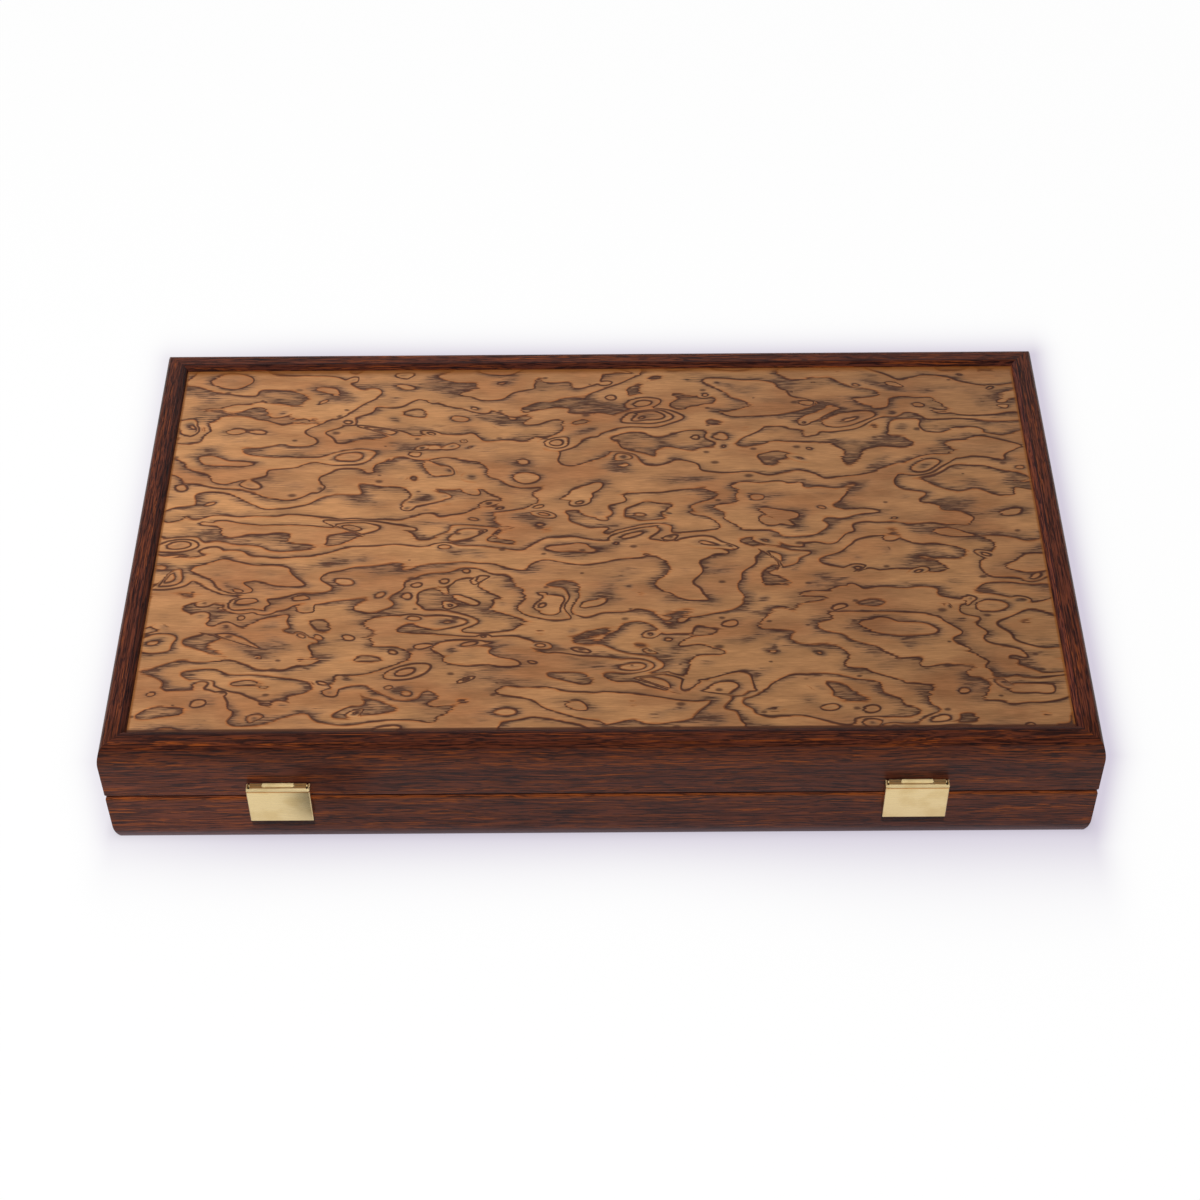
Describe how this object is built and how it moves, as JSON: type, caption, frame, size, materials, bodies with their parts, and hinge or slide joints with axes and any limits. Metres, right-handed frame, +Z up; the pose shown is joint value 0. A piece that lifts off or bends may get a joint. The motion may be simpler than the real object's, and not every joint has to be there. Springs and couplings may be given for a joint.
{
  "type": "backgammon board case",
  "caption": "Folding wooden backgammon case with dark rails, burl veneer panels, inlaid field and brass flap latches.",
  "frame": {"origin": "middle of the closed case's underside, on the table", "axes": "+X along the hinge to the right, +Y from the latches to the hinge, +Z up"},
  "size_m": [0.48, 0.2923, 0.07],
  "materials": {
    "rail_wood": "satin dark hardwood",
    "burl_veneer": "satin burl veneer",
    "core_ply": "raw plywood",
    "field_veneer": "satin veneer",
    "light_inlay": "satin veneer",
    "dark_inlay": "satin veneer",
    "latch_brass": "satin",
    "hinge_brass": "satin",
    "screw_brass": "polished"
  },
  "bodies": {
    "base": {"base_front_rail": "rail_wood", "base_back_rail": "rail_wood", "base_left_rail": "rail_wood", "base_right_rail": "rail_wood", "base_core_panel": "core_ply", "base_outer_veneer": "burl_veneer", "base_field_veneer": "field_veneer", "base_rack_floor": "field_veneer", "base_points_light": "light_inlay", "base_points_dark": "dark_inlay", "base_rack_divider": "rail_wood", "base_hinge_leaf_left": "hinge_brass", "base_hinge_leaf_right": "hinge_brass", "base_hinge_screws": "screw_brass", "hinge_pin_left": "screw_brass", "keeper_left": "latch_brass", "hinge_pin_right": "screw_brass", "keeper_right": "latch_brass", "keeper_screws": "screw_brass"},
    "lid": {"lid_front_rail": "rail_wood", "lid_back_rail": "rail_wood", "lid_left_rail": "rail_wood", "lid_right_rail": "rail_wood", "lid_core_panel": "core_ply", "lid_outer_veneer": "burl_veneer", "lid_field_veneer": "field_veneer", "lid_rack_floor": "field_veneer", "lid_points_light": "light_inlay", "lid_points_dark": "dark_inlay", "lid_rack_divider": "rail_wood", "lid_hinge_leaf_left": "hinge_brass", "lid_hinge_leaf_right": "hinge_brass", "lid_hinge_screws": "screw_brass", "latch_plate_left": "latch_brass", "latch_pin_left": "screw_brass", "latch_plate_right": "latch_brass", "latch_pin_right": "screw_brass", "latch_plate_screws": "screw_brass"},
    "latch_left": {"latch_flap_left": "latch_brass"},
    "latch_right": {"latch_flap_right": "latch_brass"}
  },
  "joints": [
    {"name": "lid_hinge", "type": "hinge", "parent": "base", "child": "lid", "pos_m": [0, 0.1423, 0.035], "axis": [-1, 0, 0], "range_deg": [0, 180]},
    {"name": "latch_left_flip", "type": "hinge", "parent": "lid", "child": "latch_left", "pos_m": [-0.15505, -0.1434, 0.045], "axis": [-1, 0, 0], "range_deg": [0, 90]},
    {"name": "latch_right_flip", "type": "hinge", "parent": "lid", "child": "latch_right", "pos_m": [0.15155, -0.1434, 0.045], "axis": [-1, 0, 0], "range_deg": [0, 90]}
  ]
}
